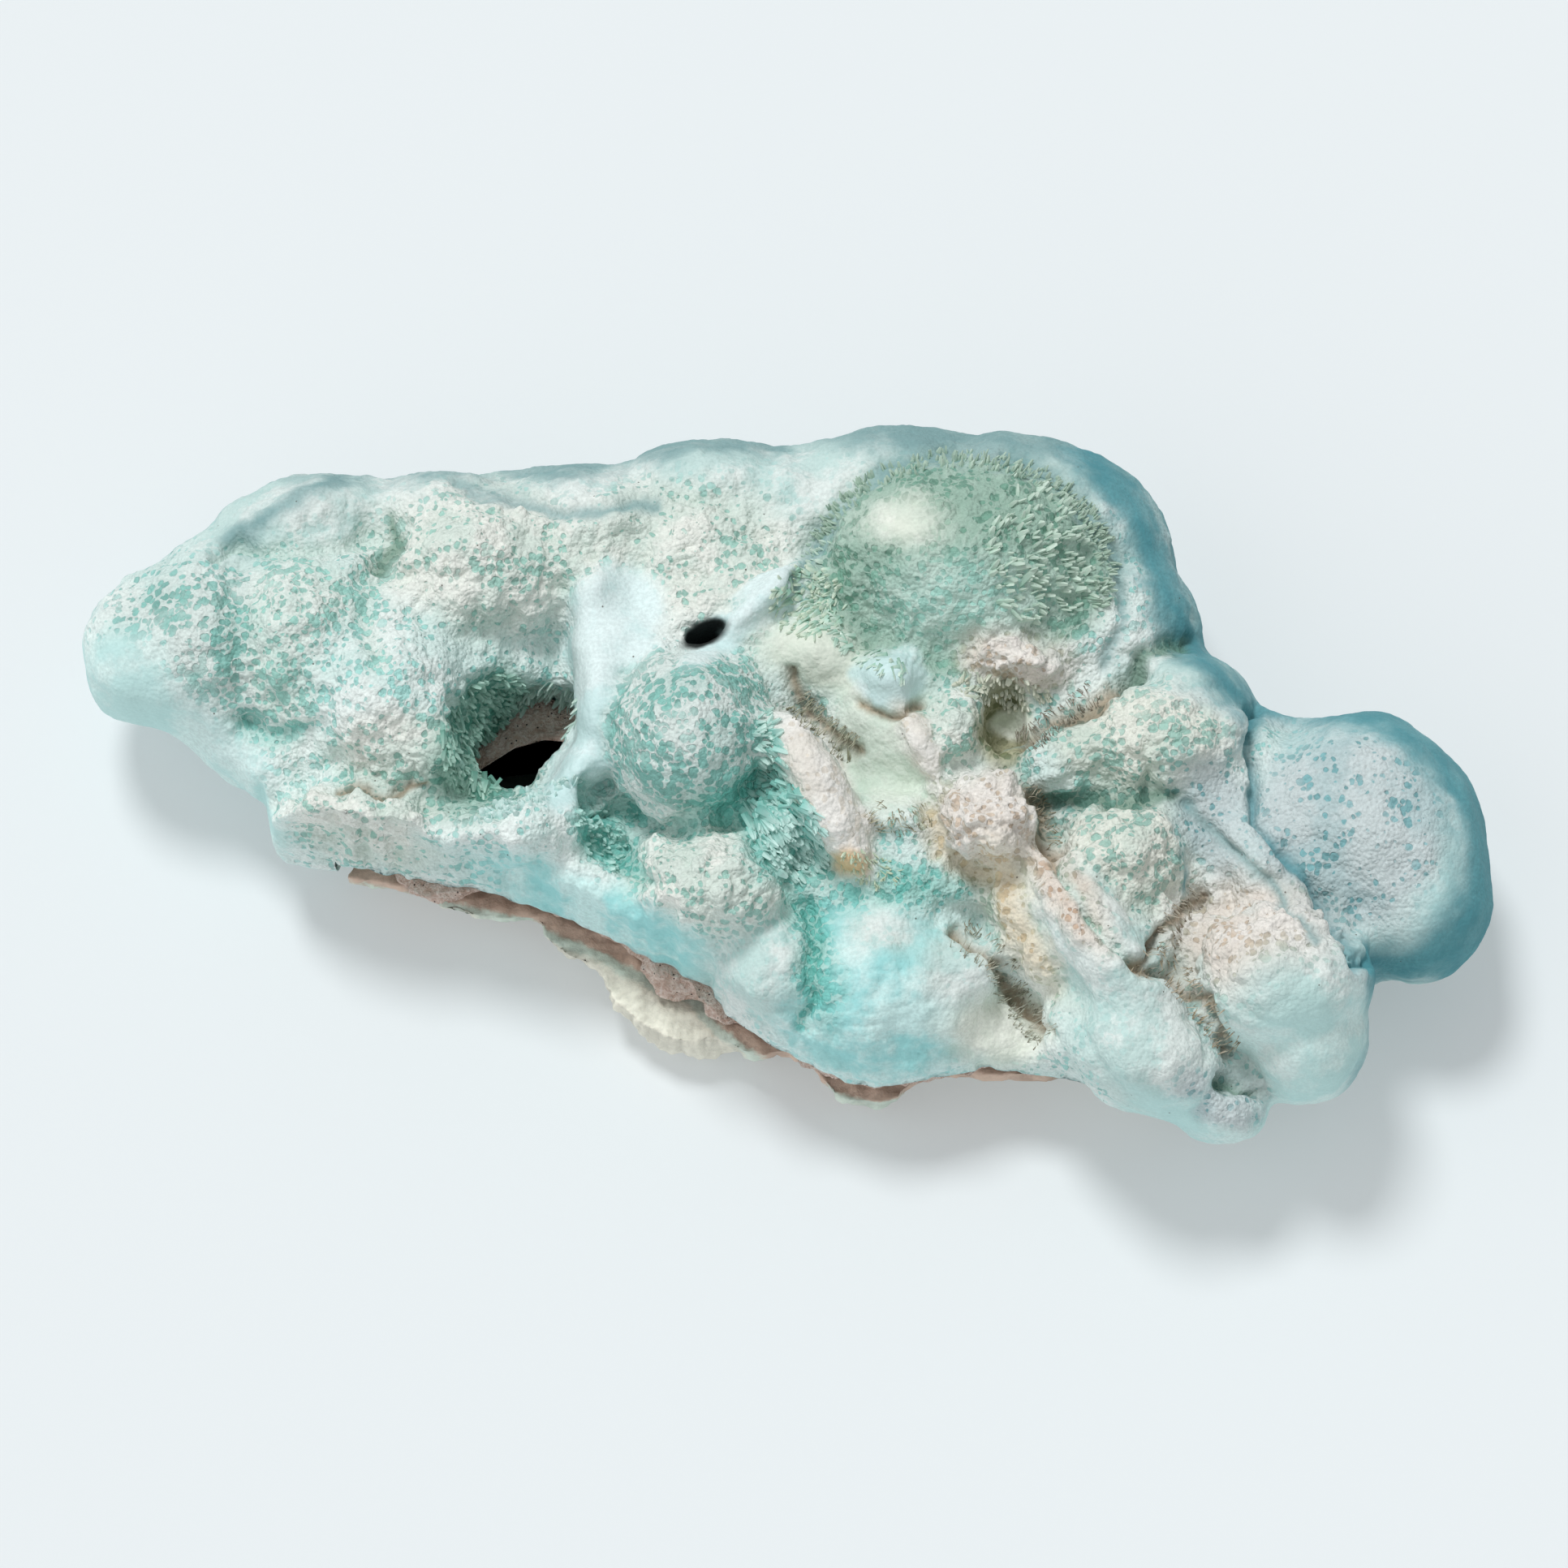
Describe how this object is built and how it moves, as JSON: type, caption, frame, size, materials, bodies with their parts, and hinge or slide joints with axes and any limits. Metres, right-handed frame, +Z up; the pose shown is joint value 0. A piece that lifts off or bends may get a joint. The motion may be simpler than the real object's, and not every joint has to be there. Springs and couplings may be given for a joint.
{
  "type": "blue aragonite specimen",
  "caption": "Hand-sized blue aragonite specimen: lumpy blue-green crystal crust on a thin sheet of brown rock.",
  "frame": {"origin": "on the surface the specimen rests on, under the middle of its length", "axes": "+Z up; +X along the specimen's length, towards the end that is at the right in the picture; -Y towards the viewer"},
  "size_m": [0.1742, 0.0958, 0.046],
  "materials": {
    "aragonite_crust": "natural blue-green aragonite crystal, frosted white on its high spots",
    "matrix_rock": "natural granular rock, matte",
    "underside_crust": "natural cream-green aragonite, matte"
  },
  "bodies": {
    "root": {"aragonite_crust": "aragonite_crust", "matrix_rock": "matrix_rock", "underside_crust": "underside_crust"}
  },
  "joints": []
}
